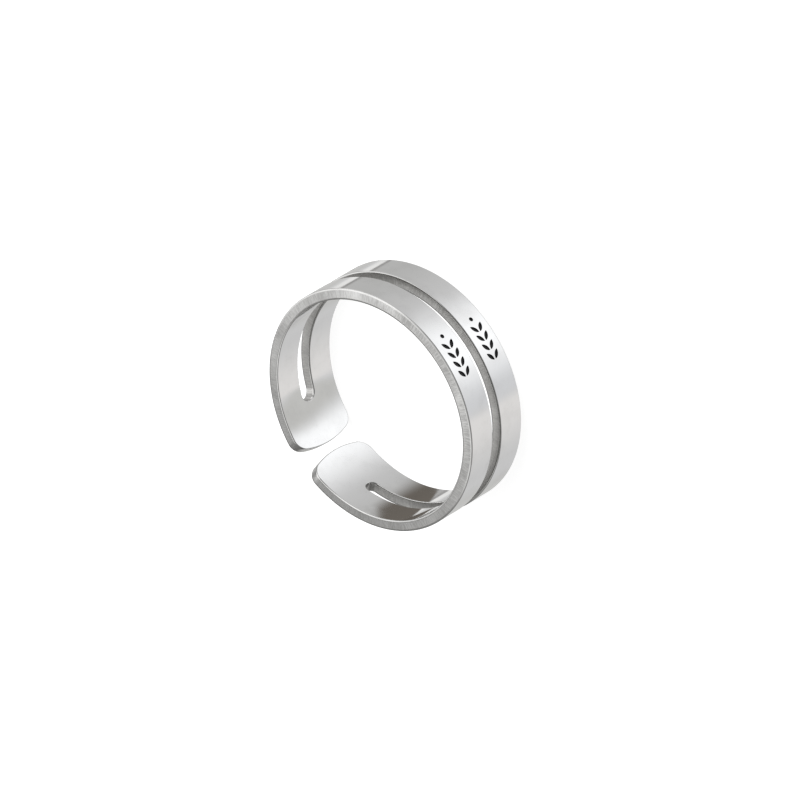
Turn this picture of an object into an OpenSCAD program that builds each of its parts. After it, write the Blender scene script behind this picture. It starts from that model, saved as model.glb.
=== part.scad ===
// Open band ring cut from one piece of steel: two bars with a slot between them, joined at two end tabs.
// The ring lies on its side. Its axis is +Z, the engraved front faces -Y and the open gap is at +Y.
// The origin is at the middle of the face that it rests on. All sizes are in millimetres.

/* [Band] */
// Outer diameter of the round band
outer_d = 20; // [16:0.5:24]
// Thickness of the metal
wall = 0.9; // [0.7:0.1:1.2]
// Width of the band at the engraved front
front_w = 6; // [5.5:0.1:8]
// How much wider the band is at its open ends
flare = 0.3; // [0.1:0.05:0.5]

/* [Slot] */
// Width of the slot at the engraved front
slot_front = 0.9; // [0.6:0.1:1.2]
// Width of the slot at the ring's sides
slot_side = 1.2; // [0.9:0.05:1.3]
// Width of the slot at its round end on the +X side, where it is wider
slot_wide = 1.45; // [1.3:0.05:1.6]
// Width of the slot at its round end on the -X side, where it is narrower
slot_narrow = 1.1; // [1:0.05:1.3]
// Length of the end tab on the +X side, from its crown to the slot
tab_short = 3.55; // [3:0.05:6]
// Length of the end tab on the -X side, from its crown to the slot
tab_long = 3.8; // [3:0.05:6]

/* [Open ends] */
// Gap between the crowns of the two tabs
gap = 0.8; // [0.4:0.1:3]
// Radius of the crown across each tab's end
crown_r = 8; // [6:0.5:12]
// Radius of each tab's corners
corner_r = 1.2; // [0.6:0.1:1.5]

/* [Engraving] */
// Depth of the engraved leaves
engraving_depth = 0.1; // [0.05:0.05:0.2]
// Length of one leaf
leaf_len = 0.85; // [0.5:0.05:1]
// Width of one leaf
leaf_w = 0.34; // [0.2:0.02:0.4]
// Pairs of leaves on each bar
leaf_pairs = 4; // [1:1:6]
// Distance between pairs of leaves along the bar
leaf_step = 0.8; // [0.7:0.05:1]
// Lean of each leaf from the stem
leaf_lean = 38; // [20:1:60]
// Diameter of the berry at the tip of the stem
berry_d = 0.36; // [0.2:0.02:0.5]
// Turn of the engraving from the point opposite the gap
engraving_turn = 4.7; // [-20:0.1:20]

/* [Hidden] */
$fn = 96;
outer_r = outer_d / 2;
inner_r = outer_r - wall;
// Room that a cutting shape runs past the metal
spare = 1;
reach = outer_r + spare;
rear_w = front_w + flare;
// Angle from the middle of the gap to a tab's crown
gap_turn = asin(gap / 2 / outer_r);
// The round ends are drilled a touch wider than the slot, so that no ridge is left beside them
drill_spare = 0.02;
// Where a corner's arc meets the crown: the arc's centre from the crown, and the height of the touching point
arc_in = crown_r - sqrt(pow(crown_r - corner_r, 2) - pow(rear_w / 2 - corner_r, 2));
arc_z = rear_w / 2 - (rear_w / 2 - corner_r) * crown_r / (crown_r - corner_r);

// Height of the upper face at a distance y from the axis
function top_at(y) = front_w + flare * (y + outer_r) / outer_d;
// Half the slot's width in front of the axis, and behind it for a round end of a given width and place
function front_half_at(y) = (slot_side - (slot_side - slot_front) * -y / outer_r) / 2;
function rear_half_at(y, end_w, end_y) = (slot_side + (end_w - slot_side) * y / end_y) / 2;
// Angle from the middle of the gap to the centre of a round end
function slot_turn(tab, end_w) = gap_turn + (tab + end_w / 2) / inner_r * 180 / PI;

// A prism along X from one place to another, whose section has a height above and below a middle at two values of Y
module side_prism(from, to, y, middle, half) {
    translate([from, 0, 0])
        rotate([90, 0, 90])
            linear_extrude(height = to - from)
                polygon([
                    [y[0], middle[0] - half[0]],
                    [y[1], middle[1] - half[1]],
                    [y[1], middle[1] + half[1]],
                    [y[0], middle[0] + half[0]]
                ]);
}

// The plain round band, with its upper face leaning so that it is widest at the gap
module blank() {
    intersection() {
        difference() {
            cylinder(r = outer_r, h = rear_w + spare);
            translate([0, 0, -spare]) cylinder(r = inner_r, h = rear_w + 3 * spare);
        }
        side_prism(
            -reach,
            reach,
            [-reach, reach],
            [(top_at(-reach) - spare) / 2, (top_at(reach) - spare) / 2],
            [(top_at(-reach) + spare) / 2, (top_at(reach) + spare) / 2]
        );
    }
}

// The slot behind the axis on the +X side, with a drilled round end at the tab
module slot_rear(tab, end_w) {
    far = 2 * reach;
    turn = slot_turn(tab, end_w);
    end_y = outer_r * cos(turn);
    difference() {
        side_prism(
            0,
            reach,
            [0, reach],
            [top_at(0) / 2, top_at(reach) / 2],
            [rear_half_at(0, end_w, end_y), rear_half_at(reach, end_w, end_y)]
        );
        // Behind the round end the band stays whole
        translate([0, 0, -spare])
            linear_extrude(height = rear_w + 3 * spare)
                polygon([
                    [0, 0],
                    [far * sin(turn), far * cos(turn)],
                    [-spare, far],
                    [-spare, 0]
                ]);
    }
    rotate([0, 0, -turn])
        translate([0, inner_r - spare, top_at(end_y) / 2])
            rotate([-90, 0, 0])
                cylinder(r = end_w / 2 + drill_spare, h = wall + 2 * spare);
}

// The long slot between the two bars
module slot_cut() {
    side_prism(
        -reach,
        reach,
        [-reach, 0],
        [top_at(-reach) / 2, top_at(0) / 2],
        [front_half_at(-reach), front_half_at(0)]
    );
    slot_rear(tab_short, slot_wide);
    mirror([1, 0, 0]) slot_rear(tab_long, slot_narrow);
}

// Outline of a tab's end, seen from outside: a crowned end with two round corners, from its tip at x = 0
module tab_outline() {
    intersection() {
        translate([crown_r, rear_w / 2]) circle(r = crown_r);
        translate([-spare, arc_z]) square([arc_in + 2 * spare, rear_w - 2 * arc_z]);
    }
    for (z = [corner_r, rear_w - corner_r])
        translate([arc_in, z]) circle(r = corner_r);
    translate([arc_in, -spare]) square([2 * spare, rear_w + 2 * spare]);
}

// What is cut away in front of the tab on the +X side
module tab_cut() {
    rotate([0, 0, -gap_turn])
        translate([0, reach, 0])
            rotate([90, 0, 0])
                linear_extrude(height = wall + 2 * spare)
                    difference() {
                        translate([-gap, -spare]) square([gap + arc_in, rear_w + 2 * spare]);
                        tab_outline();
                    }
}

// The gap between the two tabs
module gap_cut() {
    tab_cut();
    mirror([1, 0, 0]) tab_cut();
}

// A leaf from its foot at the origin, pointing along +X
module leaf() {
    half = leaf_len / 2;
    arc_r = (half * half + leaf_w * leaf_w / 4) / leaf_w;
    intersection() {
        translate([half, arc_r - leaf_w / 2]) circle(r = arc_r);
        translate([half, leaf_w / 2 - arc_r]) circle(r = arc_r);
    }
}

// One engraved mark's prism, sunk into the outer face at a place along the bar
module sunk(along_bar, z) {
    rotate([0, 0, along_bar / outer_r * 180 / PI])
        translate([0, engraving_depth - outer_r, z])
            rotate([90, 0, 0])
                linear_extrude(height = spare)
                    children();
}

// A sprig on one bar: pairs of leaves along a stem, with a berry at its tip
module sprig(z) {
    first = -leaf_step * leaf_pairs / 2;
    for (i = [0:leaf_pairs - 1])
        for (side = [-1, 1])
            sunk(first + i * leaf_step, z)
                translate([0, side * leaf_w * 0.2])
                    rotate([0, 0, side * leaf_lean])
                        leaf();
    sunk(first + leaf_pairs * leaf_step + berry_d, z) circle(d = berry_d);
}

// Both sprigs, each in the middle of its bar
module engraving() {
    bar_w = (front_w - slot_front) / 2;
    rotate([0, 0, -engraving_turn]) {
        sprig(bar_w / 2);
        sprig(front_w - bar_w / 2);
    }
}

module band() {
    color("silver")
        difference() {
            blank();
            slot_cut();
            gap_cut();
            engraving();
        }
}

band();
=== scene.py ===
"""Dresses the open band ring: mirror polished faces, ground edges, blackened engraving and a white studio.

Sizes are worked out in millimetres, as the jeweller's plan gives them, and become metres where a mesh is
made. The ring lies on its side: its axis is +Z, the engraved front faces -Y and the open gap is at +Y.
"""

import logging
import math
from dataclasses import dataclass, field, replace
from enum import IntEnum
from typing import Callable, Iterator, Mapping, Sequence

import bpy
import numpy as np
from mathutils import Matrix, Vector
from mathutils.geometry import delaunay_2d_cdt


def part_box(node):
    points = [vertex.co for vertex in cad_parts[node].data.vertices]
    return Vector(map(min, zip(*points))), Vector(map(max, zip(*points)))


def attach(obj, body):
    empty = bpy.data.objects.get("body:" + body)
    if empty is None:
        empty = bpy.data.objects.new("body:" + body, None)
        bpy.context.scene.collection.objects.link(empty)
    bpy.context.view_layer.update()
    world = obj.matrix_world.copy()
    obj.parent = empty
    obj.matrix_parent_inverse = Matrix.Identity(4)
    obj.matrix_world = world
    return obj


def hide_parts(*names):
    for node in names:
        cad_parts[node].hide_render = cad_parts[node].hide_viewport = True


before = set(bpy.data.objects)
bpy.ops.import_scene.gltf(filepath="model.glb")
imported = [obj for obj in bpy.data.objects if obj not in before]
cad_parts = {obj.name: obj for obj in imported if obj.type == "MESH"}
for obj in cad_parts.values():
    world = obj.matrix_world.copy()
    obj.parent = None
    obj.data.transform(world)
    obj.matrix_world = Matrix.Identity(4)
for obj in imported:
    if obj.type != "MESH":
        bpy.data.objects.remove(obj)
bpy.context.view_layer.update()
MM = 0.001  # A millimetre, in metres
TURN = 360.0  # A whole turn, in degrees
FLAT_MAP = "flat plan"
LOG = logging.getLogger("ring")
Pair = tuple[float, float]
Triple = tuple[float, float, float]
Colour = Triple
Level = Callable[[float], float]  # Gives a height from the distance along Y
Rims = tuple[list[int], list[int]]  # The vertices of a face's outer outline and of its slot
Filling = tuple[list[Vector], list[int], np.ndarray]  # A face's points, their vertices and its triangles
WHITE: Colour = (1.0, 1.0, 1.0)
MIX_FIRST, MIX_SECOND, MIX_RESULT = 6, 7, 2  # A Mix node's two colour sockets and its colour output


class Num:
    """A number that changes over a surface. Maths on it adds Math nodes, so masks read as expressions."""

    def __init__(self, graph: "Graph", socket: bpy.types.NodeSocket) -> None:
        """Wraps one output socket of a graph."""
        self.graph = graph
        self.socket = socket

    def maths(self, operation: str, *values: "Num | float") -> "Num":
        """Adds one Math node, with the values that go into its sockets in order."""
        return self.graph.num("ShaderNodeMath", {"operation": operation}, dict(enumerate(values)))

    def __add__(self, other: "Num | float") -> "Num":
        """Adds."""
        return self.maths("ADD", self, other)

    __radd__ = __add__

    def __mul__(self, other: "Num | float") -> "Num":
        """Multiplies."""
        return self.maths("MULTIPLY", self, other)

    __rmul__ = __mul__

    def __sub__(self, other: "Num | float") -> "Num":
        """Takes other away from this."""
        return self.maths("SUBTRACT", self, other)

    def __rsub__(self, other: float) -> "Num":
        """Takes this away from a number."""
        return self.maths("SUBTRACT", other, self)

    def __mod__(self, whole: float) -> "Num":
        """What is left over after whole turns, for values above zero."""
        return self.maths("MODULO", self, whole)

    def eased(self, low: float, high: float) -> "Num":
        """Goes smoothly from 0 at low to 1 at high, which lies below low where the step falls."""
        steps = {"Value": self, "From Min": low, "From Max": high}
        return self.graph.num("ShaderNodeMapRange", {"interpolation_type": "SMOOTHSTEP"}, steps)


Input = Num | bpy.types.NodeSocket | float | Colour | Sequence[float]


@dataclass(frozen=True)
class Grain:
    """Soft noise, which can be finer along one axis than along another.

    Attributes:
        scales: How many bumps lie in a millimetre along each axis.
        detail: How many finer layers it has.
        rough: How strong the finer layers are.
    """

    scales: Triple
    detail: float = 3.0
    rough: float = 0.5


class Graph:
    """A node tree that is written from nothing: a material's, or the world's."""

    def __init__(self, tree: bpy.types.NodeTree) -> None:
        """Empties the tree."""
        self.tree = tree
        tree.nodes.clear()

    def node(
        self,
        kind: str,
        settings: Mapping[str, object] | None = None,
        inputs: Mapping[str | int, Input] | None = None,
    ) -> bpy.types.Node:
        """Adds a node.

        Args:
            kind: The node's type.
            settings: Its properties, which are set before its sockets.
            inputs: A value or a link for each socket, by name or number.

        Returns:
            The new node.
        """
        node = self.tree.nodes.new(kind)
        for name, setting in (settings or {}).items():
            setattr(node, name, setting)
        for key, given in (inputs or {}).items():
            socket = node.inputs[key]
            given = given.socket if isinstance(given, Num) else given
            if isinstance(given, bpy.types.NodeSocket):
                self.tree.links.new(given, socket)
            elif socket.type == "RGBA" and len(given) == 3:
                socket.default_value = (*given, 1.0)
            else:
                socket.default_value = given
        return node

    def num(
        self,
        kind: str,
        settings: Mapping[str, object] | None = None,
        inputs: Mapping[str | int, Input] | None = None,
    ) -> Num:
        """Adds a node and wraps its first output, with the same arguments as node."""
        return Num(self, self.node(kind, settings, inputs).outputs[0])

    def blend(self, share: Input, first: Input, second: Input) -> bpy.types.NodeSocket:
        """Mixes two colours: the first where the share is 0, and the second where it is 1."""
        colours = {"Factor": share, MIX_FIRST: first, MIX_SECOND: second}
        return self.node("ShaderNodeMix", {"data_type": "RGBA"}, colours).outputs[MIX_RESULT]

    def stretched(self, vector: Input, scales: Sequence[float]) -> bpy.types.NodeSocket:
        """Multiplies a vector by a scale along each axis."""
        factors = {0: vector, 1: scales}
        return self.node("ShaderNodeVectorMath", {"operation": "MULTIPLY"}, factors).outputs[0]

    def noise(self, place: Input, grain: Grain) -> Num:
        """Adds soft noise.

        Args:
            place: Where the noise is read, in mm.
            grain: Its sizes.

        Returns:
            The noise, from 0 to 1.
        """
        inputs = {
            "Vector": self.stretched(place, grain.scales),
            "Scale": 1.0,
            "Detail": grain.detail,
            "Roughness": grain.rough,
        }
        return self.num("ShaderNodeTexNoise", {"noise_dimensions": "3D"}, inputs)

    def bump(self, height: Num, distance: float, below: Input | None = None) -> bpy.types.NodeSocket:
        """Bends the normal by a relief.

        Args:
            height: The relief, from 0 to 1.
            distance: How high it stands, in mm.
            below: A coarser relief's normal, which this one is laid on.

        Returns:
            The bent normal's socket.
        """
        sockets = {"Strength": 1.0, "Distance": distance * MM, "Height": height}
        laid = sockets if below is None else {**sockets, "Normal": below}
        return self.node("ShaderNodeBump", None, laid).outputs[0]

    def metal(self, colour: Input, rough: Input, normal: Input) -> bpy.types.Node:
        """Adds the shader of a metal, with its colour, roughness and normal."""
        sockets = {"Base Color": colour, "Metallic": 1.0, "Roughness": rough, "Normal": normal}
        return self.node("ShaderNodeBsdfPrincipled", None, sockets)


class Face(IntEnum):
    """The kinds of surface on the band, each the number of its material."""

    OUTSIDE = 0
    INSIDE = 1
    EDGE = 2
    SLOT = 3
    BREAK = 4
    ENGRAVED = 5


class Tab(IntEnum):
    """The two end tabs, each the sign of X on the side of the ring that it closes."""

    SHORT = 1
    LONG = -1


class Rise(IntEnum):
    """The two ways along the ring's axis, each the sign of Z."""

    DOWN = -1
    UP = 1


class Finish:
    """What every finish shares: it makes one material.

    Attributes:
        name: Its name.
    """

    name: str

    def material(self) -> bpy.types.Material:
        """Makes the material and lets the finish write its nodes.

        Returns:
            The new material.
        """
        material = bpy.data.materials.new(self.name)
        material.use_nodes = True
        graph = Graph(material.node_tree)
        shader = self.shader(graph)
        graph.node("ShaderNodeOutputMaterial", None, {"Surface": shader.outputs[0]})
        return material

    def shader(self, graph: Graph) -> bpy.types.Node:
        """Writes the finish's shader node."""
        raise NotImplementedError

    @staticmethod
    def millimetres(graph: Graph) -> bpy.types.NodeSocket:
        """Gives the place on the object in millimetres."""
        place = graph.node("ShaderNodeTexCoord").outputs["Object"]
        return graph.stretched(place, (1 / MM,) * 3)

    @staticmethod
    def flat_plan(graph: Graph) -> bpy.types.NodeSocket:
        """Gives the place along and across the metal, in millimetres."""
        return graph.node("ShaderNodeUVMap", {"uv_map": FLAT_MAP}).outputs["UV"]


@dataclass(frozen=True)
class PolishedSteel(Finish):
    """Mirror polished stainless steel, with the faint haze, waves and hairlines of a worn ring.

    Attributes:
        name: Its name.
        tint: Colour of clean metal.
        haze_tint: Colour where wear has left a haze.
        gloss: Roughness of clean and of hazy metal.
        haze: The patches of haze.
        haze_span: Values of the noise where the haze starts and is full.
        waves: The slow waves that rolling leaves.
        wave_height: Their height, in mm.
        hairs: The hairlines, which run along the metal.
        hair_span: Values of the noise where a hairline starts and is full.
        crossed: The hairlines that run across.
        crossed_span: Values of the noise where one of those starts and is full.
        crossed_share: How strong those are.
        hair_height: Height of a hairline, in mm.
        hair_rough: How much rougher a hairline is.
    """

    name: str
    tint: Colour = (0.788, 0.786, 0.782)
    haze_tint: Colour = (0.75, 0.747, 0.742)
    gloss: Pair = (0.045, 0.11)
    haze: Grain = Grain((0.55, 0.55, 0.55), 4.0, 0.6)
    haze_span: Pair = (0.42, 0.68)
    waves: Grain = Grain((0.32, 0.32, 0.32), 1.0)
    wave_height: float = 0.0016
    hairs: Grain = Grain((1.4, 26.0, 1.0), 3.0, 0.7)
    hair_span: Pair = (0.60, 0.74)
    crossed: Grain = Grain((19.0, 2.2, 1.0), 2.0, 0.6)
    crossed_span: Pair = (0.66, 0.78)
    crossed_share: float = 0.5
    hair_height: float = 0.00012
    hair_rough: float = 0.05

    def shader(self, graph: Graph) -> bpy.types.Node:
        """Writes a metal whose roughness follows patches of haze, with waves and hairlines in its normal.

        Args:
            graph: The material's graph.

        Returns:
            The shader's node.
        """
        place, plan = self.millimetres(graph), self.flat_plan(graph)
        haze = graph.noise(place, self.haze).eased(*self.haze_span)
        hairs = graph.noise(plan, self.hairs).eased(*self.hair_span)
        crossed = graph.noise(plan, self.crossed).eased(*self.crossed_span)
        scratches = hairs + self.crossed_share * crossed
        waved = graph.bump(graph.noise(place, self.waves), self.wave_height)
        low, high = self.gloss
        return graph.metal(
            graph.blend(haze, self.tint, self.haze_tint),
            low + (high - low) * haze + self.hair_rough * scratches,
            graph.bump(scratches, self.hair_height, waved),
        )


@dataclass(frozen=True)
class GroundSteel(Finish):
    """Satin steel, left by a belt that ran across the edge of the strip.

    Attributes:
        name: Its name.
        pale: Colour on the streaks' crests.
        dark: Colour between them.
        gloss: Roughness of the crests and between them.
        streaks: The fine streaks across the edge.
        patches: The broad patches that the belt has bitten more or less.
        share: How much the streaks count, with the patches for the rest.
        span: Values of the noise where the dark ends and the pale starts.
        streak_height: Height of the streaks, in mm.
    """

    name: str
    pale: Colour = (0.755, 0.753, 0.745)
    dark: Colour = (0.45, 0.447, 0.44)
    gloss: Pair = (0.28, 0.42)
    streaks: Grain = Grain((11.0, 1.3, 1.0), 5.0, 0.75)
    patches: Grain = Grain((0.45, 0.45, 0.45))
    share: float = 0.65
    span: Pair = (0.36, 0.66)
    streak_height: float = 0.0025

    def shader(self, graph: Graph) -> bpy.types.Node:
        """Writes a metal streaked across the edge in colour, roughness and height.

        Args:
            graph: The material's graph.

        Returns:
            The shader's node.
        """
        fine = graph.noise(self.flat_plan(graph), self.streaks)
        broad = graph.noise(self.millimetres(graph), self.patches)
        streak = (self.share * fine + (1.0 - self.share) * broad).eased(*self.span)
        low, high = self.gloss
        return graph.metal(
            graph.blend(streak, self.dark, self.pale),
            high + (low - high) * streak,
            graph.bump(fine, self.streak_height),
        )


@dataclass(frozen=True)
class BlackenedMark(Finish):
    """The black that a laser leaves in an engraved mark: nearly matt, and grainy.

    Attributes:
        name: Its name.
        black: Colour of the mark.
        worn: Colour of the grains that have worn paler.
        grain: The grains.
        worn_span: Values of the noise where a grain starts to wear and is worn.
        gloss: Roughness of the smoothest and the roughest grains.
        grain_height: Height of a grain, in mm.
    """

    name: str
    black: Colour = (0.006, 0.006, 0.007)
    worn: Colour = (0.028, 0.027, 0.026)
    grain: Grain = Grain((22.0, 22.0, 22.0), 3.0, 0.7)
    worn_span: Pair = (0.45, 0.75)
    gloss: Pair = (0.5, 0.75)
    grain_height: float = 0.01

    def shader(self, graph: Graph) -> bpy.types.Node:
        """Writes a dark, rough surface with a fine grain.

        Args:
            graph: The material's graph.

        Returns:
            The shader's node.
        """
        grain = graph.noise(self.millimetres(graph), self.grain)
        low, high = self.gloss
        sockets = {
            "Base Color": graph.blend(grain.eased(*self.worn_span), self.black, self.worn),
            "Metallic": 0.0,
            "Roughness": low + (high - low) * grain,
            "Normal": graph.bump(grain, self.grain_height),
        }
        return graph.node("ShaderNodeBsdfPrincipled", None, sockets)


@dataclass(frozen=True)
class WhitePaper(Finish):
    """The matt white sheet that the ring lies on, lit from below so that shadows on it stay faint.

    Attributes:
        name: Its name.
        white: Its colour.
        rough: Its roughness.
        sheen: Its specular level.
        light: Colour of its own light.
        glow: Strength of its own light.
    """

    name: str = "lit white paper"
    white: Colour = (0.5, 0.5, 0.5)
    rough: float = 0.9
    sheen: float = 0.1
    light: Colour = WHITE
    glow: float = 0.84

    def shader(self, graph: Graph) -> bpy.types.Node:
        """Writes a matt sheet that glows evenly.

        Args:
            graph: The material's graph.

        Returns:
            The shader's node.
        """
        sockets = {
            "Base Color": self.white,
            "Roughness": self.rough,
            "Specular IOR Level": self.sheen,
            "Emission Color": self.light,
            "Emission Strength": self.glow,
        }
        return graph.node("ShaderNodeBsdfPrincipled", None, sockets)


@dataclass(frozen=True)
class SoftCard(Finish):
    """A grey or brown card with soft edges, which only reflections show.

    Attributes:
        name: Its name.
        colour: Its light.
        half: Half its length along X and Y, in mm.
        softness: Width of its soft edges at low X, high X, low Y and high Y, in mm.
    """

    name: str
    colour: Colour
    half: Pair
    softness: tuple[float, float, float, float]

    def shader(self, graph: Graph) -> bpy.types.Node:
        """Writes a glow that fades into nothing at the card's edges.

        Args:
            graph: The material's graph.

        Returns:
            The shader's node.
        """
        parts = graph.node("ShaderNodeSeparateXYZ", None, {0: self.millimetres(graph)})
        share: Num | float = 1.0
        for axis, half in enumerate(self.half):
            place = Num(graph, parts.outputs[axis])
            low, high = self.softness[2 * axis : 2 * axis + 2]
            share = share * place.eased(-half, low - half) * place.eased(half, half - high)
        glow = graph.node("ShaderNodeEmission", None, {"Color": self.colour, "Strength": 1.0})
        clear = graph.node("ShaderNodeBsdfTransparent")
        return graph.node("ShaderNodeMixShader", None, {0: share, 1: clear.outputs[0], 2: glow.outputs[0]})


@dataclass(frozen=True)
class Spot:
    """What a surface of the band has at one of its points.

    Attributes:
        normal: The direction out of the metal.
        plan: The place in the flat plan, along and across the metal.
    """

    normal: Vector
    plan: Pair


def on_band(turn: float, radius: float, height: float) -> Vector:
    """Places a point by its turn from the engraved front, its radius and its height, in mm."""
    return Vector((radius * math.sin(turn), -radius * math.cos(turn), height))


def outward(turn: float) -> Vector:
    """Gives the direction away from the axis at a turn from the front."""
    return Vector((math.sin(turn), -math.cos(turn), 0.0))


def forward(turn: float) -> Vector:
    """Gives the direction along the band, in which the turn grows."""
    return Vector((math.cos(turn), math.sin(turn), 0.0))


@dataclass(frozen=True)
class Station:
    """One point of an outline of the band, which can be placed at any depth of the metal.

    A cut end is straight across the metal, so its stations keep their distance from a plane through the
    axis, while the turn that this distance makes changes with the radius.

    Attributes:
        plane: Turn of the plane, from the front.
        aside: Distance from the plane, along the band.
        level: Gives the height from the distance along Y.
        lean: Direction out of the metal, along the band and upwards.
        run: Length of the outline up to here.
    """

    plane: float
    aside: float
    level: Level
    lean: Pair
    run: float = 0.0

    def turn_and_height(self, radius: float, inset: float = 0.0) -> Pair:
        """Gives its turn from the front and its height at a radius, moved into the metal by an inset."""
        turn = self.plane + math.asin((self.aside - inset * self.lean[0]) / radius)
        return turn, self.level(-radius * math.cos(turn)) - inset * self.lean[1]

    def side(self) -> Vector:
        """Gives the direction out of the metal, square to the outline."""
        along, up = self.lean
        return forward(self.plane) * along + Vector((0.0, 0.0, up))


@dataclass
class BandPlan:
    """The flat plan of the strip that is rolled into the band: its edges, slot, tab ends and engraving.

    All sizes but the outer radius, which comes from the frame, repeat those of the solid, in mm.

    Attributes:
        outer_r: Outer radius of the round band.
        wall: Thickness of the metal.
        front_w: Width of the band at the front.
        flare: How much wider the band is at its open ends.
        slot_front: Width of the slot at the front.
        slot_side: Width of the slot at the ring's sides.
        slot_wide: Width of the slot at its round end at +X.
        slot_narrow: Width of the slot at its round end at -X.
        tab_short: Length of the end tab at +X, from its crown to the slot.
        tab_long: Length of the end tab at -X.
        gap: Gap between the crowns of the two tabs.
        crown_r: Radius of the crown across each tab's end.
        corner_r: Radius of each tab's corners.
        leaf_len: Length of one leaf.
        leaf_w: Width of one leaf.
        leaf_pairs: Pairs of leaves on each bar.
        leaf_step: Distance between pairs of leaves along the bar.
        leaf_lean: Lean of each leaf from the stem.
        leaf_aside: Distance of a leaf's foot from the stem, as a share of the leaf's width.
        berry_d: Diameter of the berry at the tip of the stem.
        engraving_turn: Turn of the engraving from the point opposite the gap.
        column: Turn between two stations of a long edge.
        crown_steps: Steps across a tab's crown, two more than round each of its corners.
        slot_steps: Steps round each end of the slot.
        leaf_steps: Steps along each side of a leaf.
        berry_steps: Steps round a berry.
        inner_r: Inner radius of the band.
        rear_w: Width of the band at its open ends.
        end_turn: Turn of the plane of each tab's crown.
        slot_ends: Turn and width of the slot's round end at each tab.
    """

    outer_r: float
    wall: float = 0.9
    front_w: float = 6.0
    flare: float = 0.3
    slot_front: float = 0.9
    slot_side: float = 1.2
    slot_wide: float = 1.45
    slot_narrow: float = 1.1
    tab_short: float = 3.55
    tab_long: float = 3.8
    gap: float = 0.8
    crown_r: float = 8.0
    corner_r: float = 1.2
    leaf_len: float = 0.85
    leaf_w: float = 0.34
    leaf_pairs: int = 4
    leaf_step: float = 0.8
    leaf_lean: float = math.radians(38)
    leaf_aside: float = 0.2
    berry_d: float = 0.36
    engraving_turn: float = math.radians(4.7)
    column: float = math.radians(1.0)
    crown_steps: int = 12
    slot_steps: int = 16
    leaf_steps: int = 11
    berry_steps: int = 24
    inner_r: float = field(init=False)
    rear_w: float = field(init=False)
    end_turn: float = field(init=False)
    slot_ends: dict[Tab, Pair] = field(init=False)

    def __post_init__(self) -> None:
        """Works out the derived sizes."""
        self.inner_r = self.outer_r - self.wall
        self.rear_w = self.front_w + self.flare
        gap_turn = math.asin(self.gap / 2 / self.outer_r)
        self.end_turn = math.pi - gap_turn
        ends = ((Tab.SHORT, self.tab_short, self.slot_wide), (Tab.LONG, self.tab_long, self.slot_narrow))
        self.slot_ends = {
            tab: (self.end_turn - (length + width / 2) / self.inner_r, width) for tab, length, width in ends
        }

    def top(self, y: float) -> float:
        """Gives the height of the upper edge."""
        return self.front_w + self.flare * (y + self.outer_r) / (2 * self.outer_r)

    def slot_half(self, y: float, tab: Tab) -> float:
        """Gives half the slot's width.

        Args:
            y: Distance from the axis, towards the gap.
            tab: The tab at the end of this side of the slot.

        Returns:
            Half the width.
        """
        turn, width = self.slot_ends[tab]
        if y < 0:
            return (self.slot_side + (self.slot_side - self.slot_front) * y / self.outer_r) / 2
        return (self.slot_side - (width - self.slot_side) * y / (self.outer_r * math.cos(turn))) / 2

    def sweep(self, start: float, stop: float) -> Iterator[float]:
        """Steps from one turn to another in equal steps of about a column."""
        count = max(1, round(abs(stop - start) / self.column))
        return (start + (stop - start) * i / count for i in range(count + 1))

    def straight(self, start: float, stop: float, level: Level, facing: Rise) -> list[Station]:
        """Lays out a long edge between two turns, which faces up or down, away from the metal."""
        return [Station(turn, 0.0, level, (0.0, facing)) for turn in self.sweep(start, stop)]

    def corner_arc_in(self) -> float:
        """Gives the distance from a tab's crown to the centre of its corner arcs."""
        reach = self.crown_r - self.corner_r
        return self.crown_r - math.sqrt(reach**2 - (self.rear_w / 2 - self.corner_r) ** 2)

    def tab_end(self, tab: Tab) -> list[Station]:
        """Lays out the crowned end of a tab and its two round corners, from the lower edge upwards.

        Args:
            tab: Which tab it is.

        Returns:
            Its stations.
        """
        middle, arc_in = self.rear_w / 2, self.corner_arc_in()
        touch = math.asin((middle - self.corner_r) / (self.crown_r - self.corner_r))
        crown_step = 2 * touch / self.crown_steps
        # Each arc's distance from the crown to its centre, its centre's height, its radius, and its angles
        arcs = (
            (arc_in, self.corner_r, self.corner_r, -math.pi / 2, -touch),
            (self.crown_r, middle, self.crown_r, crown_step - touch, touch - crown_step),
            (arc_in, self.rear_w - self.corner_r, self.corner_r, touch, math.pi / 2),
        )
        stations = []
        for back, height, radius, start, stop in arcs:
            for angle in np.linspace(start, stop, self.crown_steps - 1):
                along, up = math.cos(angle), math.sin(angle)
                place = tab * (radius * along - back)
                level = self.capped(height + radius * up)
                stations.append(Station(tab * self.end_turn, place, level, (tab * along, up)))
        return stations

    def capped(self, level: float) -> Level:
        """Gives a fixed height that never passes the upper edge."""
        return lambda y: min(level, self.top(y))

    def outline(self) -> list[Station]:
        """Lays out the outer edge of the strip, once round.

        Returns:
            Its stations, with the metal on the left.
        """
        corner = math.asin(self.corner_arc_in() / self.outer_r)
        last = self.end_turn - corner
        lower = self.straight(-last, last, lambda y: 0.0, Rise.DOWN)
        upper = self.straight(last, -last, self.top, Rise.UP)
        short, long = self.tab_end(Tab.SHORT), self.tab_end(Tab.LONG)
        return self.measured(lower[1:-1] + short + upper[1:-1] + long[::-1])

    def slot_edge(self, tab: Tab, side: Rise) -> list[Station]:
        """Lays out one long edge of the slot, from the front to a round end.

        Args:
            tab: The tab at that end.
            side: Which of the slot's two edges it is. The metal lies beyond it.

        Returns:
            Its stations.
        """
        turn, _ = self.slot_ends[tab]

        def level(y: float) -> float:
            """Gives the edge's height from the distance along Y."""
            return self.top(y) / 2 + side * self.slot_half(y, tab)

        return self.straight(0.0, tab * turn, level, Rise(-side))

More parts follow.
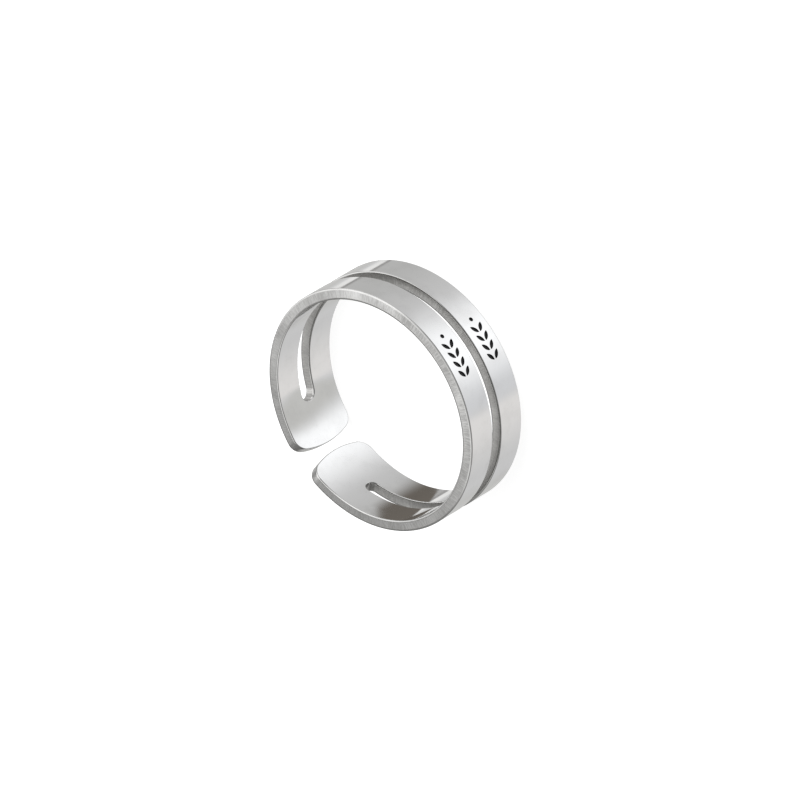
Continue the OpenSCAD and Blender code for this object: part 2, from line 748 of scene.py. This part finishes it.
    def slot_end(self, tab: Tab) -> list[Station]:
        """Lays out a round end of the slot, from its lower edge upwards.

        Args:
            tab: The tab at that end.

        Returns:
            Its stations, without those of the long edges.
        """
        turn, width = self.slot_ends[tab]
        middle = self.top(-self.outer_r * math.cos(turn)) / 2
        stations = []
        for angle in np.linspace(-math.pi / 2, math.pi / 2, self.slot_steps + 1)[1:-1]:
            along, up = math.cos(angle), math.sin(angle)
            level = self.capped(middle + width / 2 * up)
            stations.append(Station(tab * turn, tab * width / 2 * along, level, (-tab * along, -up)))
        return stations

    def slot(self) -> list[Station]:
        """Lays out the slot between the bars, once round.

        Returns:
            Its stations.
        """
        lower = self.slot_edge(Tab.LONG, Rise.DOWN)[:0:-1] + self.slot_edge(Tab.SHORT, Rise.DOWN)
        upper = self.slot_edge(Tab.SHORT, Rise.UP)[:0:-1] + self.slot_edge(Tab.LONG, Rise.UP)
        return self.measured(lower + self.slot_end(Tab.SHORT) + upper + self.slot_end(Tab.LONG)[::-1])

    def measured(self, stations: list[Station]) -> list[Station]:
        """Gives each station its length of outline.

        Args:
            stations: The stations in order.

        Returns:
            The same stations, with their runs.
        """
        measured, run, last = [], 0.0, None
        for station in stations:
            turn, height = station.turn_and_height(self.outer_r)
            place = on_band(turn, self.outer_r, height)
            run += (place - last).length if last else 0.0
            last = place
            measured.append(replace(station, run=run))
        return measured

    def leaf(self, foot: float, height: float, lean: float) -> np.ndarray:
        """Lays out one leaf of a sprig.

        Args:
            foot: Distance of its foot along the bar.
            height: Height of its foot.
            lean: Angle of its tip from the stem.

        Returns:
            Its outline along the band and upwards, in the plan of the outer face.
        """
        half = self.leaf_len / 2
        arc_r = (half**2 + (self.leaf_w / 2) ** 2) / self.leaf_w
        spread = math.asin(half / arc_r)
        angles = np.linspace(-spread, spread, self.leaf_steps + 1)[:-1]
        back = arc_r - self.leaf_w / 2
        lower = np.stack([half + arc_r * np.sin(angles), back - arc_r * np.cos(angles)], 1)
        upper = np.stack([half - arc_r * np.sin(angles), arc_r * np.cos(angles) - back], 1)
        outline = np.concatenate([lower, upper])
        cos, sin = math.cos(lean), math.sin(lean)
        turned = outline @ np.array([[cos, sin], [-sin, cos]])
        return turned + (foot, height + math.copysign(self.leaf_w * self.leaf_aside, lean))

    def sprig(self, height: float) -> list[np.ndarray]:
        """Lays out the sprig on one bar: pairs of leaves, and a berry at the tip.

        Args:
            height: Height of its stem.

        Returns:
            The outline of each mark.
        """
        shift = -self.engraving_turn * self.outer_r
        first = shift - self.leaf_step * self.leaf_pairs / 2
        feet = [first + i * self.leaf_step for i in range(self.leaf_pairs)]
        marks = [self.leaf(foot, height, side * self.leaf_lean) for foot in feet for side in Rise]
        angles = np.linspace(0, 2 * math.pi, self.berry_steps + 1)[:-1]
        tip = first + self.leaf_pairs * self.leaf_step + self.berry_d
        ring = np.stack([np.cos(angles), np.sin(angles)], 1) * self.berry_d / 2
        return marks + [ring + (tip, height)]

    def engraving(self) -> list[np.ndarray]:
        """Gives the outlines of all marks on both bars."""
        bar_w = (self.front_w - self.slot_front) / 2
        return self.sprig(bar_w / 2) + self.sprig(self.front_w - bar_w / 2)


def inside(points: np.ndarray, outline: np.ndarray) -> np.ndarray:
    """Finds which points lie inside a closed outline.

    Args:
        points: The points, one in a row.
        outline: The outline's corners, one in a row.

    Returns:
        True for each point that lies inside.
    """
    crossings = np.zeros(len(points), int)
    x, y = points.T
    for (x0, y0), (x1, y1) in zip(outline, np.roll(outline, -1, 0)):
        if y0 != y1:
            between = (y0 <= y) != (y1 <= y)
            crossings += between & (x < x0 + (y - y0) * (x1 - x0) / (y1 - y0))
    return crossings % 2 == 1


def in_scene(name: str, data: bpy.types.ID) -> bpy.types.Object:
    """Makes an object and puts it in the scene.

    Args:
        name: Its name.
        data: The mesh, lamp or camera that it carries.

    Returns:
        The object.
    """
    made = bpy.data.objects.new(name, data)
    bpy.context.scene.collection.objects.link(made)
    return made


@dataclass
class Draft:
    """A mesh in the making.

    Attributes:
        places: The place of each vertex, in mm.
        faces: The vertices of each face.
        kinds: The kind of surface of each face.
        normals: The normal at each corner of the faces, in order.
        plans: The place in the flat plan at each of those corners.
    """

    places: list[Vector] = field(default_factory=list)
    faces: list[tuple[int, ...]] = field(default_factory=list)
    kinds: list[Face] = field(default_factory=list)
    normals: list[Vector] = field(default_factory=list)
    plans: list[Pair] = field(default_factory=list)

    def point(self, place: Vector) -> int:
        """Adds a vertex and gives its number."""
        self.places.append(place)
        return len(self.places) - 1

    def face(self, corners: Sequence[int], spots: Sequence[Spot], kind: Face) -> None:
        """Adds a face, turned to look the way its normals do.

        Args:
            corners: The numbers of its vertices.
            spots: The normal and plan place at each of them.
            kind: The kind of surface that it is part of.
        """
        first, second, third = (self.places[corner] for corner in corners[:3])
        looks = (second - first).cross(third - first).dot(spots[0].normal)
        order = range(len(corners))
        if looks <= 0:
            order = order[::-1]
        self.faces.append(tuple(corners[i] for i in order))
        self.normals += [spots[i].normal for i in order]
        self.plans += [spots[i].plan for i in order]
        self.kinds.append(kind)

    def object(self, name: str, materials: Sequence[bpy.types.Material]) -> bpy.types.Object:
        """Makes the object, in metres.

        Args:
            name: Its name.
            materials: One material for each kind of surface.

        Returns:
            The object, in the scene.
        """
        mesh = bpy.data.meshes.new(name)
        mesh.from_pydata([place * MM for place in self.places], [], self.faces)
        for material in materials:
            mesh.materials.append(material)
        mesh.polygons.foreach_set("material_index", [int(kind) for kind in self.kinds])
        flat = mesh.uv_layers.new(name=FLAT_MAP)
        flat.uv.foreach_set("vector", np.array(self.plans, np.float32).ravel())
        mesh.shade_smooth()
        mesh.normals_split_custom_set([normal.normalized()[:] for normal in self.normals])
        return in_scene(name, mesh)


@dataclass
class Band:
    """The one-piece band, modelled finely enough for mirror reflections to run smoothly round it.

    Attributes:
        plan: The flat plan of the strip.
        edge_break: Radius of the broken edges, in mm.
        edge_lean: Angle that the ground outer edges lean outwards, since rolling draws the outer skin in.
        slot_lean: The same angle of the slot's walls.
        break_steps: Steps round each broken edge.
        rub: Width of the strip of the flat beside each broken edge, rubbed smooth by handling, in mm.
        rub_turn: Angle by which that strip bends down.
        rub_steps: Steps across it.
        row: Height of one row of the face's grid, in mm.
        clear: Least distance from the grid's points to an outline, in mm.
        engraving_depth: Depth of the marks, in mm.
        nearness: Distance below which two points of a face are one, in mm.
        draft: The mesh in the making.
    """

    plan: BandPlan
    edge_break: float = 0.06
    edge_lean: float = math.radians(4.5)
    slot_lean: float = math.radians(1.0)
    break_steps: int = 4
    rub: float = 0.12
    rub_turn: float = 0.28
    rub_steps: int = 3
    row: float = 0.42
    clear: float = 0.14
    engraving_depth: float = 0.1
    nearness: float = 1e-6
    draft: Draft = field(default_factory=Draft)

    def section(self, lean: float) -> list[Triple]:
        """Draws the section of an edge, from the outer face to the inner one.

        Its middle is flat and leans a little. Towards each face it bends down, slowly over the rubbed strip
        and quickly over the broken edge.

        Args:
            lean: How far it leans outwards.

        Returns:
            For each row of it, the radius, the inset from the outline and the angle that its normal has
            turned from straight outwards.
        """
        flat = math.pi / 2 - lean
        slow, quick = self.rub / self.rub_turn, self.edge_break
        halves = []
        # From the flat middle towards the outer face, and then towards the inner one
        for way, last in ((1, flat), (-1, math.pi - flat)):
            rubbed = np.linspace(0.0, self.rub_turn, self.rub_steps + 1)
            broken = np.linspace(self.rub_turn, last, self.break_steps + 1)
            half = []
            for turned in (*rubbed, *broken[1:]):
                start = min(turned, self.rub_turn)
                along = slow * math.sin(start) + quick * (math.sin(turned) - math.sin(start))
                drop = slow * (1 - math.cos(start)) + quick * (math.cos(start) - math.cos(turned))
                out = way * along * math.cos(lean) - drop * math.sin(lean)
                down = way * along * math.sin(lean) + drop * math.cos(lean)
                half.append((out, down, flat - way * turned))
            halves.append(half)
        outer, inner = halves
        outer_start, inner_start = self.plan.outer_r - outer[-1][0], self.plan.inner_r - inner[-1][0]
        crest = slow * (1 - math.cos(lean))
        fallen = crest + (outer_start - inner_start) * math.tan(lean)
        rows = [(outer_start + out, fallen + down, angle) for out, down, angle in reversed(outer)]
        return rows + [(inner_start + out, crest + down, angle) for out, down, angle in inner]

    def rim(self, stations: Sequence[Station], ground: Face, lean: float) -> Rims:
        """Builds the edge along one outline.

        Args:
            stations: The outline, once round.
            ground: The kind of surface between the broken edges.
            lean: How far that surface leans outwards.

        Returns:
            The vertices where it meets the outer face, and those where it meets the inner one.
        """
        rows, spots = [], []
        for radius, inset, angle in self.section(lean):
            rows.append([])
            spots.append([])
            for station in stations:
                turn, height = station.turn_and_height(radius, inset)
                normal = outward(turn) * math.cos(angle) + station.side() * math.sin(angle)
                rows[-1].append(self.draft.point(on_band(turn, radius, height)))
                spots[-1].append(Spot(normal, (station.run, self.plan.outer_r - radius)))
        for i in range(len(rows) - 1):
            kind = ground if i == self.break_steps + self.rub_steps else Face.BREAK
            for j in range(len(stations)):
                k = (j + 1) % len(stations)
                corners = (rows[i][j], rows[i][k], rows[i + 1][k], rows[i + 1][j])
                around = (spots[i][j], spots[i][k], spots[i + 1][k], spots[i + 1][j])
                self.draft.face(corners, around, kind)
        return rows[0], rows[-1]

    def flattened(self, corner: int) -> Pair:
        """Gives the place of a vertex in the flat plan of its own radius.

        Args:
            corner: The vertex's number.

        Returns:
            Its distance along the band from the front, and its height.
        """
        place = self.draft.places[corner]
        radius = math.hypot(place.x, place.y)
        return math.atan2(place.x, -place.y) * radius, place.z

    def grid(self, radius: float, rims: Sequence[np.ndarray]) -> np.ndarray:
        """Spreads points over a face, clear of its outlines.

        Args:
            radius: The face's radius.
            rims: The outlines that the points stay clear of.

        Returns:
            The points, one in a row.
        """
        turns = np.array(list(self.plan.sweep(-self.plan.end_turn, self.plan.end_turn)))
        heights = np.arange(self.row, self.plan.rear_w, self.row)
        points = np.stack(np.meshgrid(turns * radius, heights), -1).reshape(-1, 2)
        kept = inside(points, rims[0]) & ~inside(points, rims[1])
        points = points[kept]
        corners = np.concatenate(rims)
        nearest = np.array([np.min(np.hypot(*(corners - point).T)) for point in points])
        return points[nearest > self.clear]

    def filled(self, radius: float, rims: Rims, loops: Sequence[np.ndarray]) -> Filling:
        """Spans the outer or the inner face with triangles, along all its outlines.

        Args:
            radius: The face's radius.
            rims: The vertices of the outer outline and of the slot.
            loops: The plan of those two outlines, and then of the engraved marks.

        Returns:
            The points in the plan, the vertex at each of them, and the triangles.
        """
        points, edges = [], []
        for loop in loops:
            start = len(points)
            points += [Vector(point) for point in loop]
            edges += [(start + i, start + (i + 1) % len(loop)) for i in range(len(loop))]
        known = [corner for rim in rims for corner in rim]
        points += [Vector(point) for point in self.grid(radius, loops)]
        flat, _, triangles, origins, _, _ = delaunay_2d_cdt(points, edges, [], 0, self.nearness)
        corners = []
        for point, sources in zip(flat, origins):
            corner = next((known[source] for source in sources if source < len(known)), None)
            if corner is None:
                corner = self.draft.point(on_band(point.x / radius, radius, point.y))
            corners.append(corner)
        return flat, corners, np.array(triangles)

    def face(self, radius: float, rims: Rims, marks: Sequence[np.ndarray], kind: Face) -> None:
        """Fills the outer or the inner face between its rims, and sinks the marks into it.

        Args:
            radius: The face's radius.
            rims: The vertices of the outer outline and of the slot.
            marks: The outlines of the engraved marks.
            kind: The outside or the inside.
        """
        outlines = [np.array([self.flattened(corner) for corner in rim]) for rim in rims]
        flat, corners, triangles = self.filled(radius, rims, [*outlines, *marks])
        middles = np.array([point[:] for point in flat])[triangles].mean(1)
        metal = inside(middles, outlines[0]) & ~inside(middles, outlines[1])
        sunk = np.zeros(len(triangles), bool)
        for mark in marks:
            sunk |= inside(middles, mark)
        facing = 1.0 if kind is Face.OUTSIDE else -1.0
        spots = [Spot(outward(point.x / radius) * facing, (point.x, point.y)) for point in flat]
        for triangle in triangles[metal & ~sunk]:
            self.draft.face([corners[i] for i in triangle], [spots[i] for i in triangle], kind)
        self.sink(radius, (flat, corners, triangles[metal & sunk]), spots)

    def sink(self, radius: float, filling: Filling, spots: Sequence[Spot]) -> None:
        """Builds the floors and the side walls of the engraved marks.

        Args:
            radius: The face's radius.
            filling: The face's points and vertices, and the triangles inside the marks.
            spots: The normal and plan place at each point.
        """
        flat, corners, triangles = filling
        floors: dict[int, int] = {}
        sides: dict[tuple[int, int], None] = {}  # The edges that one triangle alone has, kept in order
        for triangle in triangles.tolist():
            for i in triangle:
                if i not in floors:
                    deep = on_band(flat[i].x / radius, radius - self.engraving_depth, flat[i].y)
                    floors[i] = self.draft.point(deep)
            self.draft.face([floors[i] for i in triangle], [spots[i] for i in triangle], Face.ENGRAVED)
            for i, j in zip(triangle, (*triangle[1:], triangle[0])):
                if (j, i) in sides:
                    del sides[(j, i)]
                else:
                    sides[(i, j)] = None
        for i, j in sides:
            along = flat[j] - flat[i]
            normal = forward(flat[i].x / radius) * -along.y + Vector((0.0, 0.0, along.x))
            around = (corners[i], corners[j], floors[j], floors[i])
            spot = Spot(normal, (flat[i].x, flat[i].y))
            self.draft.face(around, [spot] * len(around), Face.ENGRAVED)

    def build(self, finishes: Sequence[Finish]) -> bpy.types.Object:
        """Builds the whole band and dresses it.

        Args:
            finishes: One finish for each kind of surface.

        Returns:
            The band, riding on the frame in place of the solid.
        """
        edge = self.rim(self.plan.outline(), Face.EDGE, self.edge_lean)
        slot = self.rim(self.plan.slot(), Face.SLOT, self.slot_lean)
        outer_rims, inner_rims = zip(edge, slot)
        self.face(self.plan.outer_r, outer_rims, self.plan.engraving(), Face.OUTSIDE)
        self.face(self.plan.inner_r, inner_rims, (), Face.INSIDE)
        band = self.draft.object("polished_band", [finish.material() for finish in finishes])
        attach(band, "root")
        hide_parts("band")
        return band


@dataclass(frozen=True)
class Card:
    """A soft card of the studio, as the directions in which the steel sees it.

    Attributes:
        azimuths: Where it starts and stops, in degrees.
        soft: Widths of its soft edges there.
        elevations: Its lower and its upper edge.
        colour: Its light.
        rise_soft: Width of its soft lower and upper edges.
    """

    azimuths: Pair
    soft: Pair
    elevations: Pair
    colour: Colour
    rise_soft: float = 12.0

    def mask(self, azimuth: Num, elevation: Num) -> Num:
        """Writes where the card is seen.

        Args:
            azimuth: The direction's azimuth, in degrees.
            elevation: The direction's elevation, in degrees.

        Returns:
            1 on the card and 0 off it.
        """
        (start, stop), (low, high) = self.azimuths, self.elevations
        start_soft, stop_soft = (width / 2 for width in self.soft)
        rise = self.rise_soft / 2
        middle, half = (start + stop) / 2, (stop - start) / 2
        # Two whole turns keep the sum above zero, where the remainder is plain
        off = (azimuth + (TURN / 2 + 2 * TURN - middle)) % TURN - TURN / 2
        from_start = off.eased(-half - start_soft, -half + start_soft)
        to_stop = off.eased(half + stop_soft, half - stop_soft)
        above = elevation.eased(low - rise, low + rise)
        below = elevation.eased(high + rise, high - rise)
        return from_start * to_stop * above * below


FLOOR_TO_CEILING: Pair = (-90.0, 90.0)
ALL_ROUND: Pair = (0.0, TURN)


@dataclass
class Studio:
    """The white studio: a sheet of paper, a soft lamp above, and cards that the steel reflects.

    Attributes:
        wall: Light of the walls between the cards.
        cards: The cards round the ring, each over the ones before it.
        dark_card: The near card that darkens the inside of the tab at -X.
        dark_card_at: Place of its middle, in mm.
        grey_card: The near card that greys the inside of the tab at +X.
        grey_card_at: Place of its middle, in mm.
        paper_half: Half the side of the paper, in metres.
        lamp_at: Place of the lamp, in metres.
        lamp_size: Diameter of the lamp, in metres.
        lamp_power: Power of the lamp, in watts.
    """

    wall: Colour = (0.68, 0.681, 0.684)
    cards: tuple[Card, ...] = (
        # The walls, which the polished faces mirror
        Card((175.0, 214.0), (60.0, 16.0), FLOOR_TO_CEILING, (0.88, 0.865, 0.855)),
        Card((214.0, 246.0), (16.0, 10.0), FLOOR_TO_CEILING, (0.765, 0.775, 0.795)),
        Card((244.0, 303.0), (44.0, 56.0), FLOOR_TO_CEILING, (1.265, 1.28, 1.3)),
        Card((345.0, 396.0), (70.0, 4.0), FLOOR_TO_CEILING, (0.55, 0.55, 0.545)),
        Card((54.0, 128.0), (8.0, 20.0), FLOOR_TO_CEILING, (0.61, 0.61, 0.6)),
        # A dark line with a pale strip beside it, which slant over both bars at +X
        Card((34.5, 39.0), (3.0, 2.0), (-60.0, -20.0), (0.36, 0.355, 0.35)),
        Card((39.0, 48.0), (2.0, 8.0), (-60.0, -20.0), (0.93, 0.93, 0.92)),
        # Low at +X, which the end of the slot there mirrors
        Card((338.0, 378.0), (14.0, 14.0), (-30.0, 2.0), (1.45, 1.45, 1.45)),
        # Behind the ring, which the broken edges mirror as thin dark lines
        Card((66.0, 252.0), (24.0, 30.0), (2.0, 44.0), (0.31, 0.31, 0.305)),
        Card((50.0, 262.0), (16.0, 30.0), (-7.0, 16.0), (0.14, 0.138, 0.135)),
        # Overhead, which the ground edges mirror
        Card((-64.0, 72.0), (24.0, 34.0), (24.0, 100.0), (1.42, 1.42, 1.42)),
        Card(ALL_ROUND, (1.0, 1.0), (62.0, 100.0), (0.62, 0.62, 0.62)),
        Card((10.0, 116.0), (40.0, 70.0), (49.0, 58.0), (1.6, 1.6, 1.6)),
        Card((6.0, 60.0), (40.0, 20.0), (50.0, 70.0), (1.6, 1.6, 1.6)),
        Card((132.0, 252.0), (40.0, 30.0), (30.0, 100.0), (0.3, 0.3, 0.295)),
        # Straight below the ring, and in front of it
        Card(ALL_ROUND, (1.0, 1.0), (-100.0, -66.0), (0.25, 0.25, 0.245)),
        Card((236.0, 316.0), (20.0, 20.0), (-14.0, 66.0), (0.2, 0.2, 0.198)),
    )
    dark_card: SoftCard = SoftCard("brown card", (0.165, 0.148, 0.13), (4.6, 9.25), (0.5, 1.0, 5.5, 2.0))
    dark_card_at: Triple = (9.0, 12.75, -12.0)
    grey_card: SoftCard = SoftCard("grey card", (0.655, 0.655, 0.64), (8.0, 8.0), (3.0, 7.5, 3.0, 3.0))
    grey_card_at: Triple = (-13.0, -12.0, -20.0)
    paper_half: float = 0.6
    lamp_at: Triple = (0.056, 0.016, 0.16)
    lamp_size: float = 0.12
    lamp_power: float = 0.1

    def light(self) -> None:
        """Writes the world: the cards round the ring, and plain white where the camera looks past it."""
        world = bpy.data.worlds.new("studio")
        bpy.context.scene.world = world
        world.use_nodes = True
        graph = Graph(world.node_tree)
        direction = graph.node("ShaderNodeTexCoord").outputs["Generated"]
        parts = graph.node("ShaderNodeSeparateXYZ", None, {0: direction})
        x, y, z = (Num(graph, socket) for socket in parts.outputs)
        azimuth = y.maths("ARCTAN2", y, x) * math.degrees(1.0)
        elevation = z.maths("ARCSINE", z) * math.degrees(1.0)
        colour: Input = self.wall
        for card in self.cards:
            colour = graph.blend(card.mask(azimuth, elevation), colour, card.colour)
        seen = graph.node("ShaderNodeBackground", None, {"Color": colour, "Strength": 1.0})
        blank = graph.node("ShaderNodeBackground", None, {"Color": WHITE, "Strength": 1.0})
        straight = graph.node("ShaderNodeLightPath").outputs["Is Camera Ray"]
        views = {0: straight, 1: seen.outputs[0], 2: blank.outputs[0]}
        mixed = graph.node("ShaderNodeMixShader", None, views)
        graph.node("ShaderNodeOutputWorld", None, {"Surface": mixed.outputs[0]})

    def lamp(self) -> bpy.types.Object:
        """Hangs a large soft lamp over the paper, which it lights alone: the steel sees the cards.

        Returns:
            The lamp.
        """
        data = bpy.data.lights.new("soft lamp", "AREA")
        data.shape = "DISK"
        data.size = self.lamp_size
        data.energy = self.lamp_power
        lamp = in_scene("soft lamp", data)
        lamp.location = self.lamp_at
        lamp.rotation_euler = (-lamp.location).to_track_quat("-Z", "Y").to_euler()
        lamp.visible_glossy = False
        lamp.visible_camera = False
        return lamp

    @staticmethod
    def sheet(name: str, half: Pair, finish: Finish) -> bpy.types.Object:
        """Makes a level rectangle of the stage, round the origin.

        Args:
            name: Its name.
            half: Half its length along X and Y, in metres.
            finish: Its finish.

        Returns:
            The rectangle, which is not part of the ring.
        """
        x, y = half
        mesh = bpy.data.meshes.new(name)
        mesh.from_pydata([(-x, -y, 0.0), (x, -y, 0.0), (x, y, 0.0), (-x, y, 0.0)], [], [(0, 1, 2, 3)])
        mesh.materials.append(finish.material())
        sheet = in_scene(name, mesh)
        return sheet

    def paper(self) -> bpy.types.Object:
        """Lays the sheet of paper under the ring. The steel doesn't see it, but what lies below it.

        Returns:
            The sheet.
        """
        sheet = self.sheet("paper", (self.paper_half, self.paper_half), WhitePaper())
        sheet.visible_glossy = False
        return sheet

    def near_card(self, card: SoftCard, place: Triple) -> bpy.types.Object:
        """Hangs a near card below the paper, where only one side of the ring sees it.

        Args:
            card: Its finish and size.
            place: Place of its middle, in mm.

        Returns:
            The card.
        """
        half_x, half_y = card.half
        sheet = self.sheet(card.name, (half_x * MM, half_y * MM), card)
        sheet.location = Vector(place) * MM
        sheet.visible_camera = False
        sheet.visible_diffuse = False
        sheet.visible_shadow = False
        sheet.visible_transmission = False
        return sheet

    def build(self) -> list[bpy.types.Object]:
        """Sets up the whole studio, with colours shown as they are.

        Returns:
            The pieces of the stage.
        """
        self.light()
        bpy.context.scene.view_settings.view_transform = "Standard"
        bpy.context.scene.view_settings.look = "None"
        return [
            self.lamp(),
            self.paper(),
            self.near_card(self.dark_card, self.dark_card_at),
            self.near_card(self.grey_card, self.grey_card_at),
        ]


@dataclass(frozen=True)
class PhotoCamera:
    """The camera of the picture, which looks down on the ring from far away and is rolled on its side.

    Attributes:
        azimuth: Degrees round the ring from the engraved front.
        elevation: Degrees above the paper.
        roll: Degrees that the picture is turned.
        scale: Pixels for a millimetre at the ring.
        column: Pixel column where the ring's middle is seen.
        line: Pixel line where the ring's middle is seen.
        distance: Distance from the ring's middle, in mm.
        pixels: Side of the square picture.
        sensor: Width of the camera's sensor, in mm.
        clip: Nearest and furthest distance that is drawn, in metres.
    """

    azimuth: float = -5.2
    elevation: float = 42.2
    roll: float = -120.65
    scale: float = 13.059
    column: float = 395.25
    line: float = 394.57
    distance: float = 800.0
    pixels: int = 800
    sensor: float = 36.0
    clip: Pair = (0.05, 3.0)

    def place(self, middle: Vector) -> bpy.types.Object:
        """Makes the camera.

        Args:
            middle: The middle of the ring, in mm.

        Returns:
            The scene's camera.
        """
        turn, rise, roll = (math.radians(angle) for angle in (self.azimuth, self.elevation, self.roll))
        back = outward(turn) * math.cos(rise) + Vector((0.0, 0.0, math.sin(rise)))
        level = forward(turn)
        upright = back.cross(level)
        right = level * math.cos(roll) + upright * math.sin(roll)
        up = upright * math.cos(roll) - level * math.sin(roll)
        centre = (self.pixels - 1) / 2  # Middle of the picture, counted in whole pixels from 0
        aside = (self.column - centre) / self.scale
        above = (centre - self.line) / self.scale
        data = bpy.data.cameras.new("camera")
        data.sensor_width = self.sensor
        data.lens = self.scale * self.distance * self.sensor / self.pixels
        data.clip_start, data.clip_end = self.clip
        camera = in_scene("camera", data)
        spot = (middle + back * self.distance - right * aside - up * above) * MM
        camera.matrix_world = Matrix.Translation(spot) @ Matrix((right, up, back)).transposed().to_4x4()
        bpy.context.scene.camera = camera
        return camera


def main() -> None:
    """Builds the camera, the band and the studio, and reports each piece."""
    logging.basicConfig(level=logging.INFO, format="%(name)s: %(message)s")
    low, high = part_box("band")
    plan = BandPlan(outer_r=(high.x - low.x) / 2 / MM)
    camera = PhotoCamera().place(Vector((0.0, 0.0, plan.front_w / 2)))
    LOG.info("camera with a lens of %.0f mm", camera.data.lens)
    finishes = (
        PolishedSteel("polished outside"),
        PolishedSteel("polished inside"),
        GroundSteel("ground edges"),
        # The slot's walls are the same streaked ground steel, with colours darker than the ground edges' as
        # painted shade between the two bars
        GroundSteel(
            "cut slot with painted shade",
            pale=(0.61, 0.605, 0.59),
            dark=(0.43, 0.425, 0.415),
            gloss=(0.36, 0.5),
        ),
        PolishedSteel(
            "broken edges",
            tint=(0.6, 0.597, 0.59),
            haze_tint=(0.55, 0.547, 0.54),
            gloss=(0.12, 0.2),
        ),
        BlackenedMark("blackened engraving"),
    )
    band = Band(plan).build(finishes)
    LOG.info("%s with %d faces", band.name, len(band.data.polygons))
    for piece in Studio().build():
        LOG.info("%s, which is part of the stage", piece.name)


if __name__ == "__main__":
    main()
